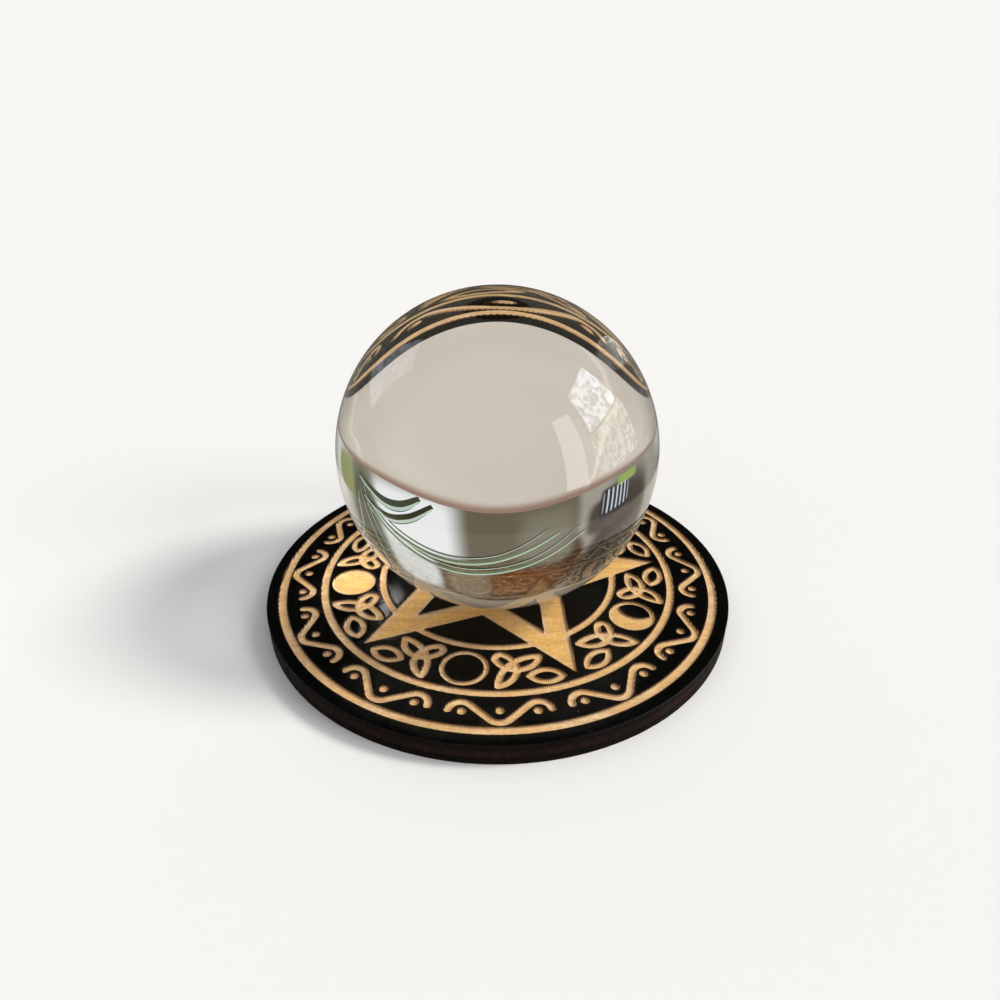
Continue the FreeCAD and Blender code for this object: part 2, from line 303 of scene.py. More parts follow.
height = maths(tree, "ADD", maths(tree, "MULTIPLY", ribs, 0.5), mottle)
bump = add(tree, "Bump", None, {"Height": height, "Strength": 0.6, "Distance": 0.03 * MM})
tree.links.new(bump.outputs[0], shader.inputs["Normal"])
print("engraved wood:", len(tree.nodes), "nodes")

# %% [markdown]
# # Burnt plywood edge
# The disc was cut out by the same laser, which chars the edge dark brown and leaves upright
# striations. The middle veneer lies across the grain of the other two and burns a little
# lighter. One function makes all three, so that only the shades differ.

# %% Burnt edge materials
def burnt_edge(name, dark, light):
    material, tree, shader = new_material(name)
    place = add(tree, "TexCoord").outputs["Object"]
    upright = add(tree, "Mapping", None, {"Vector": place, "Scale": (1.0, 1.0, 0.12)}).outputs[0]
    stripes = add(tree, "TexNoise", None, {"Vector": upright, "Scale": 1500.0, "Detail": 4.0,
                                           "Roughness": 0.65}).outputs[0]
    patches = add(tree, "TexNoise", None, {"Vector": place, "Scale": 160.0,
                                           "Detail": 2.0}).outputs[0]
    char = place_group(tree, speckle, Size=2200.0, Share=0.2, Dot=0.3)["Flecks"]
    colour = blend_colour(tree, remap(tree, stripes, 0.3, 0.72), dark, light)
    colour = blend_colour(tree, remap(tree, patches, 0.4, 0.7, 0.0, 0.6), colour, dark)
    colour = blend_colour(tree, maths(tree, "MULTIPLY", char, 0.6), colour, shade(4, 2, 2))
    tree.links.new(colour, shader.inputs["Base Color"])
    tree.links.new(remap(tree, stripes, 0.3, 0.7, 0.5, 0.8), shader.inputs["Roughness"])
    shader.inputs["Specular IOR Level"].default_value = 0.08
    bump = add(tree, "Bump", None, {"Height": stripes, "Strength": 0.8, "Distance": 0.05 * MM})
    tree.links.new(bump.outputs[0], shader.inputs["Normal"])
    return material


burnt_face = burnt_edge("burnt_face_veneer", shade(5, 2, 2), shade(21, 10, 8))
burnt_core = burnt_edge("burnt_core_veneer", shade(10, 5, 4), shade(48, 26, 19))
burnt_back = burnt_edge("burnt_back_veneer", shade(4, 2, 2), shade(19, 9, 7))
print("burnt edge materials: 3")

# %% [markdown]
# # Black lacquer
# Sprayed lacquer is deep black and nearly mirror smooth, with a faint orange-peel ripple and
# specks of dust caught in it. Smoke from the laser stains it brown for a few tenths of a
# millimetre beside every groove, which the scorch group gives.

# %% Lacquer material
lacquer, tree, shader = new_material("black_lacquer")
place = add(tree, "TexCoord").outputs["Object"]
stain = place_group(tree, scorch, Reach=0.3, Unevenness=0.24, Grain_Size=1900.0, Comb=0.1)["Burn"]
dust = place_group(tree, speckle, Size=700.0, Share=0.05, Dot=0.12)["Flecks"]
peel = add(tree, "TexNoise", None, {"Vector": place, "Scale": 520.0, "Detail": 2.0}).outputs[0]
rub = add(tree, "TexNoise", None, {"Vector": place, "Scale": 110.0, "Detail": 4.0}).outputs[0]
black = blend_colour(tree, maths(tree, "MULTIPLY", stain, 0.6), shade(3, 4, 4), shade(48, 29, 15))
black = blend_colour(tree, maths(tree, "MULTIPLY", dust, 0.5), black, shade(120, 114, 106))
tree.links.new(black, shader.inputs["Base Color"])
sheen = remap(tree, rub, 0.35, 0.7, 0.24, 0.36)
sheen = maths(tree, "ADD", sheen, maths(tree, "MULTIPLY", stain, 0.3))
tree.links.new(maths(tree, "ADD", sheen, maths(tree, "MULTIPLY", dust, 0.3)),
               shader.inputs["Roughness"])
shader.inputs["Specular IOR Level"].default_value = 0.2
bump = add(tree, "Bump", None, {"Height": peel, "Strength": 0.15, "Distance": 0.02 * MM})
tree.links.new(bump.outputs[0], shader.inputs["Normal"])
print("lacquer:", len(tree.nodes), "nodes")

# %% [markdown]
# # Reading the drawing from the CAD pieces
# The engraved drawing is already exact in the CAD mesh, as the edge of the groove's floor and
# of each lacquer area. There is no need to draw it again: this helper finds the level faces
# of a node at one height, and the edges around them.

# %% Outline reader
def level_faces(node, level):
    """A tree for asking what lies over those faces, and the straight bits of their outline."""
    mesh = bmesh.new()
    mesh.from_mesh(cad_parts[node].data)
    bmesh.ops.remove_doubles(mesh, verts=mesh.verts, dist=1e-7)
    flat = {f for f in mesh.faces
            if f.normal.z > 0.99 and abs(f.calc_center_median().z - level) < 1e-5}
    inside = bvhtree.BVHTree.FromPolygons(
        [v.co for v in mesh.verts], [[v.index for v in f.verts] for f in flat])
    outline = [(e.verts[0].co.xy, e.verts[1].co.xy) for e in mesh.edges
               if sum(f in flat for f in e.link_faces) == 1]
    mesh.free()
    return inside, outline


def covers(inside, x, y):
    return inside.ray_cast(Vector((x, y, 1.0)), Vector((0, 0, -1)))[0] is not None


groove_floor, groove_outline = level_faces("face_ply", ENGRAVED_LEVEL)
land_outline = level_faces("face_ply", WOOD_TOP)[1]
print("groove outline pieces:", len(groove_outline), " land outline pieces:", len(land_outline))

# %% [markdown]
# # Points and triangles for a flat sheet
# A shallow relief needs small triangles near its edges and may have large ones elsewhere.
# Delaunay triangulation takes any points and keeps given edges, so the outline stays exact
# while rows of points close to it carry the slope of the wall.

# %% Sheet points
SAME_PLACE = 1e-7         # metres; points nearer than this are one point
BRIDGE_ROUNDS = 4


class SheetPoints:
    """Collects points and edges for the triangulation, each place only once."""

    def __init__(self):
        self.places, self.numbers, self.edges = [], {}, []

    def point(self, place):
        key = (round(place.x / SAME_PLACE), round(place.y / SAME_PLACE))
        if key not in self.numbers:
            self.numbers[key] = len(self.places)
            self.places.append(place.copy())
        return self.numbers[key]

    def outline(self, pieces, step):
        """Outline pieces, each cut into even steps; kept as edges of the triangulation."""
        for start, end in pieces:
            parts = max(1, round((end - start).length / step))
            row = [self.point(start.lerp(end, i / parts)) for i in range(parts + 1)]
            self.edges += list(zip(row, row[1:]))

    def rows(self, pieces, offsets, step, wanted):
        """Rows of points on both sides of the outline, wherever they are wanted."""
        for start, end in pieces:
            along = end - start
            if along.length == 0:
                continue
            across = Vector((-along.y, along.x)).normalized()
            parts = max(1, round(along.length / step))
            for i in range(parts):
                middle = start + along * ((i + 0.5) / parts)
                for offset in offsets:
                    for side in (offset, -offset):
                        place = middle + across * side
                        if wanted(place, offset):
                            self.point(place)

    def grid(self, step, wanted):
        """Points in staggered rows over the whole disc, wherever they are wanted."""
        count = int(DISC_RADIUS / step) + 2
        for row in range(-count, count):
            for column in range(-count, count):
                place = Vector(((column + (row % 2) / 2) * step, row * step * math.sqrt(0.75)))
                if wanted(place):
                    self.point(place)

    def triangles(self, wanted):
        """The triangulation. An edge that joins outline to outline gets a point in its middle,
        so that no part of the sheet is pinched flat between two bits of outline."""
        outline = {number for edge in self.edges for number in edge}
        kept = {frozenset(edge) for edge in self.edges}
        for _ in range(BRIDGE_ROUNDS):
            made = geometry.delaunay_2d_cdt(self.places, self.edges, [], 0, 1e-8, False)
            places, faces = made[0], made[2]
            bridges = {frozenset((face[k - 1], face[k])) for face in faces for k in range(3)
                       if face[k - 1] in outline and face[k] in outline} - kept
            middles = [sum((places[number] for number in bridge), Vector((0, 0))) / 2
                       for bridge in sorted(map(sorted, bridges))]
            middles = [middle for middle in middles if wanted(middle)]
            if not middles:
                break
            for middle in middles:
                self.point(middle)
        return places, faces


print("sheet points ready")

# %% [markdown]
# # Distance from an outline
# The slope of a wall and the width of a scorch mark both depend on how far a point is from
# the nearest outline. A tree of sample points finds the nearest pieces fast, and the exact
# distance is then measured to those pieces, so it is zero on the outline itself.

# %% Distance finder
def distance_to_piece(place, start, end):
    """True distance from a straight piece of outline, past its ends too."""
    closest, along = geometry.intersect_point_line(place, start, end)
    return (place - (start if along < 0 else end if along > 1 else closest)).length


def distance_finder(pieces, spacing=0.04 * MM):
    """A function that gives the distance from any place to the nearest of the pieces."""
    samples = []
    for start, end in pieces:
        parts = max(1, round((end - start).length / spacing))
        samples += [(start.lerp(end, i / parts), start, end) for i in range(parts + 1)]
    tree = kdtree.KDTree(len(samples))
    for number, (place, _, _) in enumerate(samples):
        tree.insert((place.x, place.y, 0), number)
    tree.balance()

    def distance(place):
        nearest = tree.find_n((place.x, place.y, 0), 3)
        return min(distance_to_piece(place, *samples[number][1:]) for _, number, _ in nearest)
    return distance


def is_wall(piece):
    """True for outline pieces along a groove, not along the seat hole or the outer edge."""
    return SEAT_RADIUS * 1.02 < piece[0].length < DISC_RADIUS * 0.99


groove_walls = [piece for piece in groove_outline if is_wall(piece)]
to_wall = distance_finder(groove_walls)
print("groove walls:", round(sum((b - a).length for a, b in groove_walls) / MM), "mm long")

# %% Turning a sheet into an object
def finish_mesh(name, mesh, materials, smooth_angle=40):
    """Make an object of a bmesh, with smooth shading broken at sharp edges."""
    data = bpy.data.meshes.new(name)
    bmesh.ops.recalc_face_normals(mesh, faces=mesh.faces)
    mesh.to_mesh(data)
    mesh.free()
    for material in materials:
        data.materials.append(material)
    piece = bpy.data.objects.new(name, data)
    bpy.context.scene.collection.objects.link(piece)
    data.shade_smooth()
    data.set_sharp_from_angle(angle=math.radians(smooth_angle))
    print(f"{name}: {len(data.vertices)} vertices, {len(data.polygons)} faces")
    return piece


# %% [markdown]
# # The charred side of a veneer
# A laser-cut edge isn't a clean cylinder: it has fine upright ridges, and each veneer stands
# back a little at its glue line. The side is built downwards from a ring of points, and every
# point is drawn in by a few hundredths of a millimetre of noise.

# %% Veneer sides
def drawn_in(angle, height, top, bottom):
    """How far the side stands back from the full radius, in metres; never outwards."""
    ridge = noise.noise(Vector((math.cos(angle) * 110, math.sin(angle) * 110, height / MM * 0.5)))
    slow = noise.noise(Vector((math.cos(angle) * 14, math.sin(angle) * 14, height / MM * 0.3)))
    edge = min(top - height, height - bottom) / (0.16 * MM)
    rounding = max(0.0, 1.0 - edge) ** 2 * 0.05
    return (0.045 + 0.03 * ridge + 0.02 * slow + rounding) * MM


def ring(mesh, loop, level, radius_at):
    """A ring of new points below an ordered loop of points, and the faces between."""
    made = []
    for above in loop:
        angle = math.atan2(above.co.y, above.co.x)
        radius = radius_at(angle, level)
        made.append(mesh.verts.new((radius * math.cos(angle), radius * math.sin(angle), level)))
    for i, above in enumerate(loop):
        nearby = (i + 1) % len(loop)
        mesh.faces.new((above, loop[nearby], made[nearby], made[i]))
    return made


def side_wall(mesh, loop, top, bottom, radius_at, rows=8):
    """Rows of points from a loop down to the bottom; returns the last row."""
    for row in range(1, rows + 1):
        loop = ring(mesh, loop, top + (bottom - top) * row / rows, radius_at)
    return loop


def fill_between(mesh, outer, inner):
    """Level triangles between two loops of points, both in order from the same side."""
    o = i = 0
    while o < len(outer) or i < len(inner):
        here = (outer[o % len(outer)], inner[i % len(inner)])
        if (o + 1) * len(inner) <= (i + 1) * len(outer):
            o += 1
            mesh.faces.new((*here, outer[o % len(outer)]))
        else:
            i += 1
            mesh.faces.new((*here, inner[i % len(inner)]))


def full_circle(mesh, radius, level, count):
    return [mesh.verts.new((radius * math.cos(math.tau * i / count),
                            radius * math.sin(math.tau * i / count), level)) for i in range(count)]


SIDE_POINTS = 960
SEAT_POINTS = 240
GLUE_LINE_STEP = 0.08 * MM


def veneer(name, node, material):
    """A whole veneer: charred outer side, seat hole, and level faces above and below."""
    bottom, top = (corner.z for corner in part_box(node))
    mesh = bmesh.new()
    crown = full_circle(mesh, DISC_RADIUS - GLUE_LINE_STEP, top, SIDE_POINTS)
    mouth = full_circle(mesh, SEAT_RADIUS, top, SEAT_POINTS)
    fill_between(mesh, crown, mouth)
    foot = side_wall(mesh, crown, top, bottom,
                     lambda angle, level: DISC_RADIUS - drawn_in(angle, level, top, bottom))
    sole = side_wall(mesh, mouth, top, bottom, lambda angle, level: SEAT_RADIUS, rows=2)
    fill_between(mesh, foot, sole)
    return finish_mesh(name, mesh, [material])


core_veneer = veneer("core_veneer", "core_ply", burnt_core)
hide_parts("core_ply")
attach(core_veneer, "stand")

back_veneer = veneer("back_veneer", "back_ply", burnt_back)
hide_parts("back_ply")
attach(back_veneer, "stand")

# %% [markdown]
# # The engraved face veneer
# The face is one sheet: level under the lacquer, and sunk wherever the laser has been. A real
# groove has sloping, rounded walls about a third of a millimetre wide. So the depth of every
# point follows from its distance to the wall, with a little unevenness in the floor.

# %% Groove profile
GROOVE_DEPTH = WOOD_TOP - ENGRAVED_LEVEL
WALL_WIDTH = 0.2 * MM


def groove_height(place, distance):
    """Height of the engraved surface at a distance from the wall."""
    slope = min(distance / WALL_WIDTH, 1.0)
    down = 1 - (1 - slope) ** 2
    wobble = noise.noise(Vector((place.x, place.y, 0)) / (0.9 * MM)) * 0.015 * MM
    return WOOD_TOP - GROOVE_DEPTH * down + wobble * slope


# %% Face veneer
OUTLINE_STEP = 0.28 * MM
ROW_STEP = 0.22 * MM
OWN_ROW = 0.93            # a row point nearer than this share of its offset is by another wall
FACE_ROWS = (0.06 * MM, 0.13 * MM, 0.21 * MM, 0.34 * MM)
FACE_GRID, FACE_GRID_FROM_WALL = 0.3 * MM, 0.42 * MM


def face_points():
    """Outline, rows along the walls, and a grid in the grooves."""
    def wanted(place, clear):
        return covers(groove_floor, *place) and to_wall(place) > clear

    points = SheetPoints()
    points.outline(groove_outline + land_outline, OUTLINE_STEP)
    points.rows(groove_walls, FACE_ROWS, ROW_STEP,
                lambda place, offset: wanted(place, offset * OWN_ROW))
    points.grid(FACE_GRID, lambda place: wanted(place, FACE_GRID_FROM_WALL))
    return points


def build_face():
    places, faces = face_points().triangles(lambda place: covers(groove_floor, *place))
    mesh = bmesh.new()
    wall = mesh.verts.layers.float.new("wall")
    verts = []
    for place in places:
        distance = to_wall(place)
        sunk = covers(groove_floor, *place)
        height = groove_height(place, distance) if sunk else WOOD_TOP
        vert = mesh.verts.new((place.x, place.y, height))
        vert[wall] = distance / MM if sunk else 0.0
        verts.append(vert)
    for face in faces:
        middle = sum((places[i] for i in face), Vector((0, 0))) / 3
        if middle.length > SEAT_RADIUS * 0.995:
            mesh.faces.new([verts[i] for i in face])
    return mesh


def boundary_loops(mesh):
    """Ordered points round the outer edge and round the seat hole."""
    rim = {v for e in mesh.edges if len(e.link_faces) == 1 for v in e.verts}
    by_angle = sorted(rim, key=lambda v: math.atan2(v.co.y, v.co.x))
    halfway = (SEAT_RADIUS + DISC_RADIUS) / 2
    return ([v for v in by_angle if v.co.xy.length > halfway],
            [v for v in by_angle if v.co.xy.length < halfway])


face_mesh = build_face()
crown, mouth = boundary_loops(face_mesh)
foot = side_wall(face_mesh, crown, WOOD_TOP, FACE_BOTTOM,
                 lambda angle, level: DISC_RADIUS - drawn_in(angle, level, WOOD_TOP, FACE_BOTTOM))
sole = side_wall(face_mesh, mouth, ENGRAVED_LEVEL, FACE_BOTTOM,
                 lambda angle, level: SEAT_RADIUS, rows=2)
fill_between(face_mesh, foot, sole)
engraved_face = finish_mesh("engraved_face", face_mesh, [engraved_wood, burnt_face])
for face in engraved_face.data.polygons:
    if abs(face.normal.z) < 0.5 and face.center.xy.length > DISC_RADIUS * 0.99:
        face.material_index = 1
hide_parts("face_ply")
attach(engraved_face, "stand")

# %% [markdown]
# # The lacquer areas
# Each lacquer area is a film a tenth of a millimetre thick. Its edge melts back under the
# laser and ends in a tiny rounded lip, which is what catches the light. The film is closed
# underneath, so that it is a real thin solid.

# %% Lacquer films
FILM = COAT_TOP - WOOD_TOP
LIP_WIDTH = 0.1 * MM
FILM_ROWS = (0.02 * MM, 0.05 * MM, 0.1 * MM)
FILM_GRID, FILM_GRID_FROM_EDGE = 0.6 * MM, 0.3 * MM


def film_height(distance):
    slope = min(distance / LIP_WIDTH, 1.0)
    return WOOD_TOP + FILM * math.sqrt(1 - (1 - slope) ** 2)


def lacquer_film(name, node):
    inside, outline = level_faces(node, COAT_TOP)
    to_edge = distance_finder(outline)

    def wanted(place, clear):
        return covers(inside, *place) and to_edge(place) > clear

    points = SheetPoints()
    points.outline(outline, OUTLINE_STEP)
    points.rows(outline, FILM_ROWS, ROW_STEP, lambda place, offset: wanted(place, offset * OWN_ROW))
    points.grid(FILM_GRID, lambda place: wanted(place, FILM_GRID_FROM_EDGE))
    places, faces = points.triangles(lambda place: covers(inside, *place))
    mesh = bmesh.new()
    wall = mesh.verts.layers.float.new("wall")
    upper, lower = [], []
    for place in places:
        distance = to_edge(place)
        vert = mesh.verts.new((place.x, place.y, film_height(distance)))
        vert[wall] = to_wall(place) / MM
        upper.append(vert)
        below = mesh.verts.new((place.x, place.y, WOOD_TOP)) if distance > SAME_PLACE else vert
        below[wall] = vert[wall]
        lower.append(below)
    for face in faces:
        middle = sum((places[i] for i in face), Vector((0, 0))) / 3
        if covers(inside, *middle) and any(upper[i] != lower[i] for i in face):
            mesh.faces.new([upper[i] for i in face])
            mesh.faces.new([lower[i] for i in reversed(face)])
    bmesh.ops.delete(mesh, geom=[v for v in mesh.verts if not v.link_faces], context="VERTS")
    piece = finish_mesh(name, mesh, [lacquer], smooth_angle=60)
    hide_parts(node)
    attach(piece, "stand")


for area in ("rim", "wave_band", "knot_band", "star_field", "star_windows"):
    lacquer_film("coat_" + area, "lacquer_" + area)

# %% [markdown]
# # The ball
# Refraction shows every facet of a coarse sphere, so this one is an icosphere with small, even
# triangles and smooth shading. Its points are pushed out to the exact radius.

# %% Glass ball
ball_mesh = bmesh.new()
bmesh.ops.create_icosphere(ball_mesh, subdivisions=7, radius=BALL_RADIUS)
for vert in ball_mesh.verts:
    vert.co = vert.co.normalized() * BALL_RADIUS + BALL_CENTRE
glass_ball = finish_mesh("glass_ball", ball_mesh, [glass], smooth_angle=180)
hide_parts("crystal_ball")
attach(glass_ball, "ball")

# %% [markdown]
# # The floor
# The floor is plain and pale. The camera sees it everywhere, but the ball would show only
# white if it saw the same. So rays that have passed through the glass see a smaller stone
# table top round the stand, and beyond its edge the room.

# %% Floor and table top
TABLE_RADIUS = 81.5 * MM
FLOOR_SIZE = 60.0
FLOOR_DROP, TABLE_DROP = 0.02 * MM, 0.04 * MM     # below the disc, so that no faces coincide


def only_seen_by(piece, camera=False, diffuse=False, glossy=False, transmission=False):
    """Show a piece of the stage to some kinds of ray only; it never casts a shadow."""
    piece.visible_camera = camera
    piece.visible_diffuse = diffuse
    piece.visible_glossy = glossy
    piece.visible_transmission = transmission
    piece.visible_shadow = False
    piece.visible_volume_scatter = False


floor_mesh = bmesh.new()
bmesh.ops.create_grid(floor_mesh, x_segments=1, y_segments=1, size=FLOOR_SIZE)
pale, tree, shader = new_material("pale_floor")
place = add(tree, "TexCoord").outputs["Object"]
cast = add(tree, "TexNoise", None, {"Vector": place, "Scale": 6.0, "Detail": 2.0}).outputs[0]
tree.links.new(blend_colour(tree, cast, shade(229, 228, 226), shade(231, 230, 228)),
               shader.inputs["Base Color"])
shader.inputs["Roughness"].default_value = 1.0
shader.inputs["Specular IOR Level"].default_value = 0.0
floor = finish_mesh("floor", floor_mesh, [pale])
floor.location.z = -FLOOR_DROP
only_seen_by(floor, camera=True, diffuse=True)

table_mesh = bmesh.new()
bmesh.ops.create_circle(table_mesh, cap_ends=True, segments=256, radius=TABLE_RADIUS)
stone, tree, shader = new_material("stone_table")
place = add(tree, "TexCoord").outputs["Object"]
bent = add(tree, "TexNoise", None, {"Vector": place, "Scale": 24.0, "Detail": 4.0}).outputs["Color"]
vein_place = add(tree, "MixRGB", None, {"Fac": 0.05, 1: place, 2: bent}).outputs[0]
veins = add(tree, "TexWave", None, {"Vector": vein_place, "Scale": 9.0, "Distortion": 1.5,
                                    "Detail": 2.0}).outputs["Fac"]
cloud = add(tree, "TexNoise", None, {"Vector": place, "Scale": 40.0, "Detail": 3.0}).outputs[0]
stone_colour = blend_colour(tree, remap(tree, cloud, 0.3, 0.7), shade(200, 190, 180),
                            shade(210, 203, 192))
stone_colour = blend_colour(tree, remap(tree, veins, 0.985, 1.0, 0.0, 0.6), stone_colour,
                            shade(232, 224, 208))
from_middle = add(tree, "VectorMath", {"operation": "LENGTH"}, {0: place}).outputs["Value"]
rim = remap(tree, from_middle, TABLE_RADIUS * 0.93, TABLE_RADIUS * 0.985)
stone_colour = blend_colour(tree, maths(tree, "MULTIPLY", rim, 0.75), stone_colour,
                            shade(122, 78, 52))
tree.links.new(stone_colour, shader.inputs["Base Color"])
shader.inputs["Roughness"].default_value = 0.9
shader.inputs["Specular IOR Level"].default_value = 0.0
table_top = finish_mesh("table_top", table_mesh, [stone])
table_top.location.z = -TABLE_DROP
only_seen_by(table_top, glossy=True, transmission=True)

# %% [markdown]
# # Light
# Daylight comes from a window on the right, a little behind the ball. The ball gathers that
# light and throws it as a bright spot on the far side of the disc.
# The window and its pale curtain are two broad sun lamps, because a sun lights the whole floor
# evenly. What shows of the window in the polished glass is a separate set of bright cards.

# %% Daylight
def from_ball(azimuth, elevation, distance):
    """A place seen from the ball; azimuth 0 is straight behind it and 90 is to the right."""
    a, e = math.radians(azimuth), math.radians(elevation)
    return BALL_CENTRE + Vector((math.sin(a) * math.cos(e), math.cos(a) * math.cos(e),
                                 math.sin(e))) * distance


def sun_light(name, azimuth, elevation, spread, strength, colour):
    """Daylight from one direction; the spread in degrees softens its shadows."""
    data = bpy.data.lights.new(name, "SUN")
    data.energy = strength
    data.angle = math.radians(spread)
    data.color = colour
    lamp = bpy.data.objects.new(name, data)
    bpy.context.scene.collection.objects.link(lamp)
    lamp.location = from_ball(azimuth, elevation, 1.0)
    lamp.rotation_mode = "QUATERNION"
    lamp.rotation_quaternion = (BALL_CENTRE - lamp.location).to_track_quat("-Z", "Y")
    lamp.visible_glossy = False
    return lamp


window_light = sun_light("window_light", 86, 42, 14.0, 2.3, (1.0, 0.98, 0.94))
curtain_light = sun_light("curtain_light", 114, 32, 20.0, 0.95, (1.0, 0.99, 0.97))
print(f"daylight: {window_light.data.energy:.2f} and {curtain_light.data.energy:.2f} W per m2")

# %% Window cards
CARD_DISTANCE = 2.0


def upright(left, right, low, high):
    """Corners of a card, as (azimuth, elevation) in degrees."""
    return ((left, low), (right, low), (right, high), (left, high))


def bright_card(name, corners, strength, colour, leaves=0.0):
    """A glowing card, seen only in polished surfaces; leaves darken parts of it."""
    mesh = bmesh.new()
    mesh.faces.new([mesh.verts.new(from_ball(a, e, CARD_DISTANCE)) for a, e in corners])
    material = bpy.data.materials.new(name)
    material.use_nodes = True
    tree = material.node_tree
    tree.nodes.clear()
    place = add(tree, "TexCoord").outputs["Object"]
    foliage = add(tree, "TexNoise", None, {"Vector": place, "Scale": 7.0, "Detail": 6.0,
                                           "Roughness": 0.75}).outputs[0]
    shadow = remap(tree, foliage, 0.44, 0.58, 0.0, leaves)
    light = blend_colour(tree, shadow, colour, shade(64, 78, 62))
    glow = add(tree, "Emission", None, {"Color": light, "Strength": strength}).outputs[0]
    tree.links.new(glow, add(tree, "OutputMaterial").inputs[0])
    card = finish_mesh(name, mesh, [material])
    only_seen_by(card, glossy=True)


bright_card("upper_pane", upright(75, 110, 19, 43), 8.5, shade(232, 242, 255), leaves=0.8)
bright_card("lower_pane", upright(72, 112, -6, 17.5), 3.6, shade(230, 236, 220), leaves=0.95)
bright_card("curtain", upright(119, 135, -8, 36), 3.6, shade(240, 240, 236))
bright_card("curtain_fold", upright(112.5, 119, -8, 30), 1.0, shade(232, 232, 226))
bright_card("far_window", upright(-75, -48, 12, 42), 1.8, shade(225, 236, 250), leaves=0.6)

# %% [markdown]
# # A house plant behind the ball
# Long thin leaves hang behind the ball, and the glass bends them into sweeping arcs. Each is a flat
# glowing strip through a few bends, so its lit colour is painted light and not lit by the lamps. A
# narrower, paler strip in front of each is a painted highlight on it.
# Only rays that have come through the glass see them.

# %% Leaves
LEAF_DISTANCE, GLINT_DISTANCE = 1.5, 1.45


def smooth_path(bends, parts=10):
    """Points on a smooth line through the bends (a Catmull-Rom spline)."""
    ends = [bends[0], *bends, bends[-1]]
    path = []
    for four in zip(ends, ends[1:], ends[2:], ends[3:]):
        for i in range(parts):
            t = i / parts
            path.append(tuple(q + 0.5 * t * (r - p + t * (2 * p - 5 * q + 4 * r - s
                                                          + t * (3 * (q - r) + s - p)))
                              for p, q, r, s in zip(*four)))
    return path + [bends[-1]]


def leaf_strip(name, bends, width, distance, colour):
    """A glowing strip; bends are (azimuth, elevation) in degrees, and so is its width."""
    path = smooth_path(bends)
    mesh = bmesh.new()
    rows = []
    for i, (a, e) in enumerate(path):
        before, after = path[max(0, i - 1)], path[min(len(path) - 1, i + 1)]
        along = Vector((after[0] - before[0], after[1] - before[1])).normalized()
        taper = 0.35 + 0.65 * math.sin(math.pi * i / (len(path) - 1))
        side = Vector((-along.y, along.x)) * width / 2 * taper
        rows.append([mesh.verts.new(from_ball(a + side.x * k, e + side.y * k, distance))
                     for k in (1, -1)])
    for (a, b), (c, d) in zip(rows, rows[1:]):
        mesh.faces.new((a, b, d, c))
    material = bpy.data.materials.new(name)
    material.use_nodes = True
    tree = material.node_tree
    tree.nodes.clear()
    glow = add(tree, "Emission", None, {"Color": colour}).outputs[0]
    tree.links.new(glow, add(tree, "OutputMaterial").inputs[0])
    strip = finish_mesh(name, mesh, [material])
    only_seen_by(strip, transmission=True)


PALE, DARK, BLUE = shade(104, 116, 84), shade(44, 46, 26), shade(58, 66, 50)
GLINT = shade(190, 208, 194)
# Leaves 2 and 4 are thin dark strips just under leaves 1 and 3: painted shade along their lower
# sides.
LEAVES = (
    (((-20, -6), (-6, 2), (8, 5.5), (20, 3), (37, -7)), 2.0, PALE),
    (((-18, -8.2), (-6, -0.2), (8, 3.3), (20, 0.8), (36, -8.6)), 1.0, DARK),
    (((-13, -8), (0, -1), (12, 1.2), (25, -2), (35, -8)), 2.0, PALE),
    (((-10, -9.4), (0, -3), (12, -0.9), (25, -4.2), (34, -9.6)), 0.9, DARK),
    (((13, -14), (20, -9), (28, -6.5), (38, -9)), 2.6, DARK),
    (((16, -15), (22, -11.5), (29, -10.8), (40, -14)), 3.0, BLUE),
    (((38, -14), (33, 5), (32, 12)), 1.3, DARK),
    (((40, -10), (37, 8), (43, 25)), 1.6, DARK),
    (((42, -8), (45, 5), (55, 15)), 1.6, PALE),
)
for number, (bends, width, colour) in enumerate(LEAVES, start=1):
    leaf_strip(f"leaf_{number}", bends, width, LEAF_DISTANCE, colour)
    # Each leaf gets a narrower, paler strip a little above it and in front: a painted highlight along
    # its upper side.
    raised = [(a, e + width / 4) for a, e in bends]
    leaf_strip(f"leaf_painted_highlight_{number}", raised, width / 3, GLINT_DISTANCE, GLINT)

# %% [markdown]
# # The room seen in the glass
# What the ball shows beyond the table is a room: a grey wall, a bright screen, something
# woven and brown, and a dark corner. The world shader paints these as soft patches placed by
# direction. The camera and soft light see a plain pale world instead.

# %% Soft patch group
patch, given, result = new_group(
    "soft patch",
    [("Azimuth", 0.0), ("Elevation", 0.0), ("Middle Azimuth", 0.0), ("Middle Elevation", 0.0),
     ("Half Width", 10.0), ("Half Height", 10.0), ("Softness", 2.0), ("Squareness", 4.0)], ["Mask"])
off_azimuth = maths(patch, "SUBTRACT", given["Azimuth"], given["Middle Azimuth"])
sideways = maths(patch, "DIVIDE", off_azimuth, given["Half Width"])
off_elevation = maths(patch, "SUBTRACT", given["Elevation"], given["Middle Elevation"])
upwards = maths(patch, "DIVIDE", off_elevation, given["Half Height"])
total = maths(patch, "ADD",
              maths(patch, "POWER", maths(patch, "ABSOLUTE", sideways), given["Squareness"]),
              maths(patch, "POWER", maths(patch, "ABSOLUTE", upwards), given["Squareness"]))
reach = maths(patch, "POWER", total, maths(patch, "DIVIDE", 1.0, given["Squareness"]))
edge = maths(patch, "MULTIPLY", maths(patch, "SUBTRACT", 1.0, reach), given["Half Width"])
patch.links.new(remap(patch, maths(patch, "DIVIDE", edge, given["Softness"]), -1.0, 1.0),
                result["Mask"])
print("soft patch group:", len(patch.nodes), "nodes")

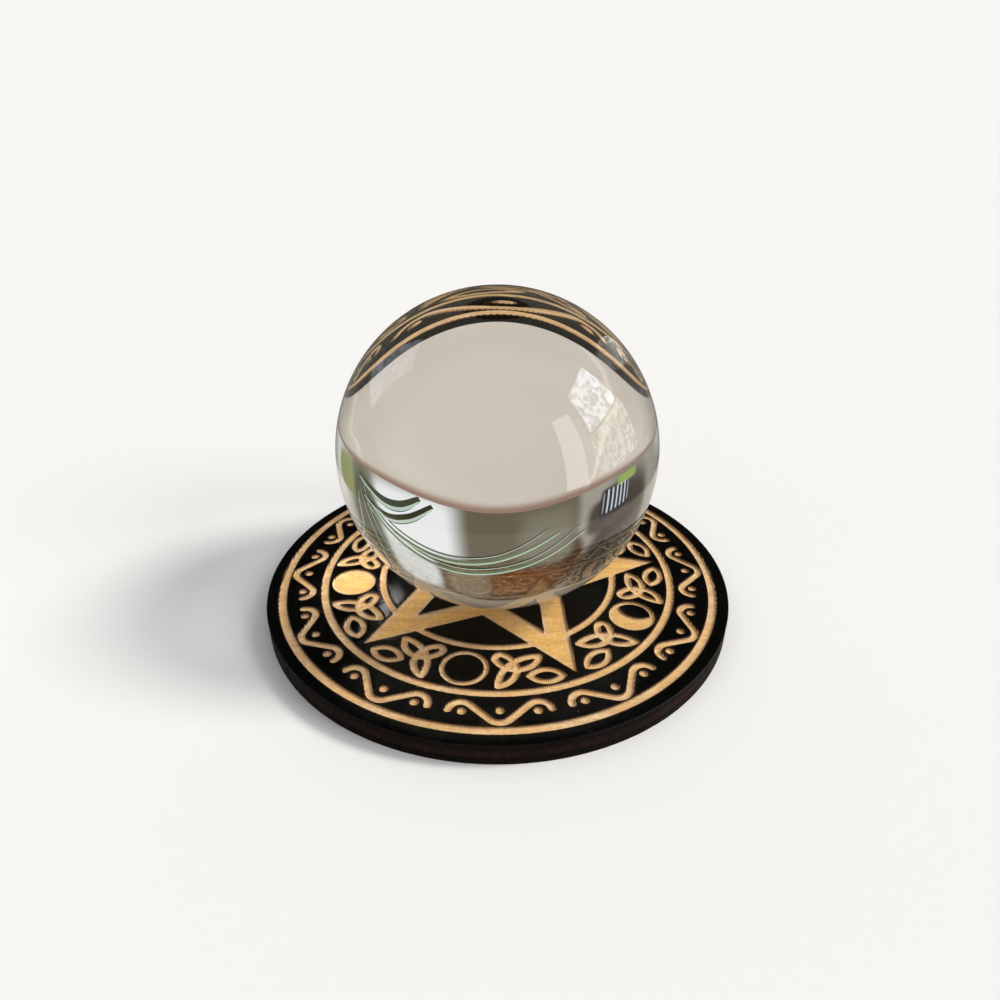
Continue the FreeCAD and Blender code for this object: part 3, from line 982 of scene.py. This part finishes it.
# %% Room patches
world = bpy.data.worlds.new("room")
bpy.context.scene.world = world
world.use_nodes = True
tree = world.node_tree
tree.nodes.clear()
direction = add(tree, "TexCoord").outputs["Generated"]
parts = add(tree, "SeparateXYZ", None, {0: direction}).outputs
azimuth = maths(tree, "DEGREES", maths(tree, "ARCTAN2", parts[0], parts[1]))
elevation = maths(tree, "DEGREES", maths(tree, "ARCSINE", parts[2]))

room_colour = blend_colour(tree, remap(tree, elevation, -10.0, 45.0), shade(160, 156, 144),
                           shade(150, 138, 116))
# middle azimuth, middle elevation, half width, half height, softness, squareness, colour
PATCHES = (
    (-90, 5, 24, 40, 8, 4, shade(240, 241, 236)),
    (80, 5, 26, 30, 8, 3, shade(250, 250, 246)),
    (-62, 2, 16, 12, 4, 3, shade(158, 158, 146)),
    (-38, 8, 14, 23, 3, 3, shade(52, 45, 38)),
    (-28, 14, 7, 12, 2.5, 2.5, shade(28, 22, 18)),
    (-2, 9, 21, 19, 1.5, 2.4, shade(68, 36, 12)),
    (-4, 12, 13, 8, 3, 3, shade(106, 60, 24)),
    (8, 14, 6, 10, 2, 3, shade(134, 118, 94)),
    (24, 8, 8.5, 13, 1.5, 3, shade(228, 230, 226)),
    (-3, -7, 15, 10.5, 1.5, 8, shade(102, 93, 76)),
    (-11, -5, 6, 8, 3, 4, shade(128, 124, 108)),
    (21, -7, 12.5, 8.5, 3, 8, shade(240, 242, 242)),
    (-29, -7, 8, 5, 1.5, 4, shade(74, 64, 60)),
    (-31, -10, 6.5, 4.2, 0.6, 8, shade(46, 44, 50)),
    (-36, -14.5, 5, 1.2, 0.5, 6, shade(150, 172, 92)),
    (40, 2, 8, 20, 3, 2.5, shade(88, 90, 72)),
    (54, -9, 8, 6, 2, 3, shade(150, 160, 96)),
    (0, 62, 60, 24, 14, 2, shade(122, 98, 66)),
)
for middle_a, middle_e, half_w, half_h, soft, square, colour in PATCHES:
    mask = place_group(tree, patch, Azimuth=azimuth, Elevation=elevation, Middle_Azimuth=middle_a,
                       Middle_Elevation=middle_e, Half_Width=half_w, Half_Height=half_h,
                       Softness=soft, Squareness=square)["Mask"]
    room_colour = blend_colour(tree, mask, room_colour, colour)
print("room patches:", len(PATCHES))

# %% [markdown]
# Two finer things lie over the patches: the light upright bars of a railing, made by a sine of
# the azimuth, and the light and dark streaks of something woven, made by stretched noise.

# %% Railing and woven streaks
stripes = maths(tree, "SINE", maths(tree, "MULTIPLY", azimuth, 3.4))
railing = place_group(tree, patch, Azimuth=azimuth, Elevation=elevation, Middle_Azimuth=-31.0,
                      Middle_Elevation=-10.5, Half_Width=5.5, Half_Height=3.2, Softness=0.5,
                      Squareness=8.0)["Mask"]
railing = maths(tree, "MULTIPLY", railing, remap(tree, stripes, 0.2, 0.5))
room_colour = blend_colour(tree, railing, room_colour, shade(205, 212, 226))
across = add(tree, "CombineXYZ", None, {0: maths(tree, "MULTIPLY", azimuth, 0.5),
                                        1: maths(tree, "MULTIPLY", elevation, 1.6)}).outputs[0]
woven = add(tree, "TexNoise", None, {"Vector": across, "Scale": 0.8, "Detail": 5.0,
                                     "Roughness": 0.7, "Distortion": 1.5}).outputs[0]
lit_side = remap(tree, elevation, -2.0, 4.0)
streak = maths(tree, "MULTIPLY", remap(tree, woven, 0.56, 0.66, 0.0, 0.55), lit_side)
room_colour = blend_colour(tree, streak, room_colour, shade(214, 206, 190))
shadow = maths(tree, "MULTIPLY", remap(tree, woven, 0.44, 0.36, 0.0, 0.5), lit_side)
room_colour = blend_colour(tree, shadow, room_colour, shade(36, 26, 18))
print("railing and woven streaks added")

# %% [markdown]
# The Light Path node then shares the worlds out. The camera sees a pale backdrop and rough
# surfaces get a soft pale fill. Polished surfaces and rays inside the glass meet the room, which
# is dimmed in a plain reflection so that the lacquer stays black.

# %% World
BACKDROP_STRENGTH, FILL_STRENGTH, ROOM_IN_REFLECTIONS = 1.0, 0.58, 0.16

path = add(tree, "LightPath").outputs
mirrored = maths(tree, "SUBTRACT", path["Is Glossy Ray"], path["Is Transmission Ray"], clamp=True)
dimmed = remap(tree, mirrored, 0.0, 1.0, 1.0, ROOM_IN_REFLECTIONS, smooth=False)
room = add(tree, "Background", None, {"Color": room_colour, "Strength": dimmed}).outputs[0]
backdrop = add(tree, "Background", None, {"Color": shade(247, 246, 243),
                                          "Strength": BACKDROP_STRENGTH}).outputs[0]
fill = add(tree, "Background", None, {"Color": shade(246, 247, 250),
                                      "Strength": FILL_STRENGTH}).outputs[0]
plain = add(tree, "MixShader", None, {0: path["Is Camera Ray"], 1: fill, 2: backdrop}).outputs[0]
through_glass = maths(tree, "MAXIMUM", path["Is Glossy Ray"], path["Is Transmission Ray"])
chosen = add(tree, "MixShader", None, {0: through_glass, 1: plain, 2: room}).outputs[0]
tree.links.new(chosen, add(tree, "OutputWorld").inputs[0])
print("world:", len(tree.nodes), "nodes")

# %% [markdown]
# # Picture settings
# The standard view keeps the pale floor pale and the lacquer black.

# %% View transform
bpy.context.scene.view_settings.view_transform = "Standard"
bpy.context.scene.view_settings.exposure = 0.0
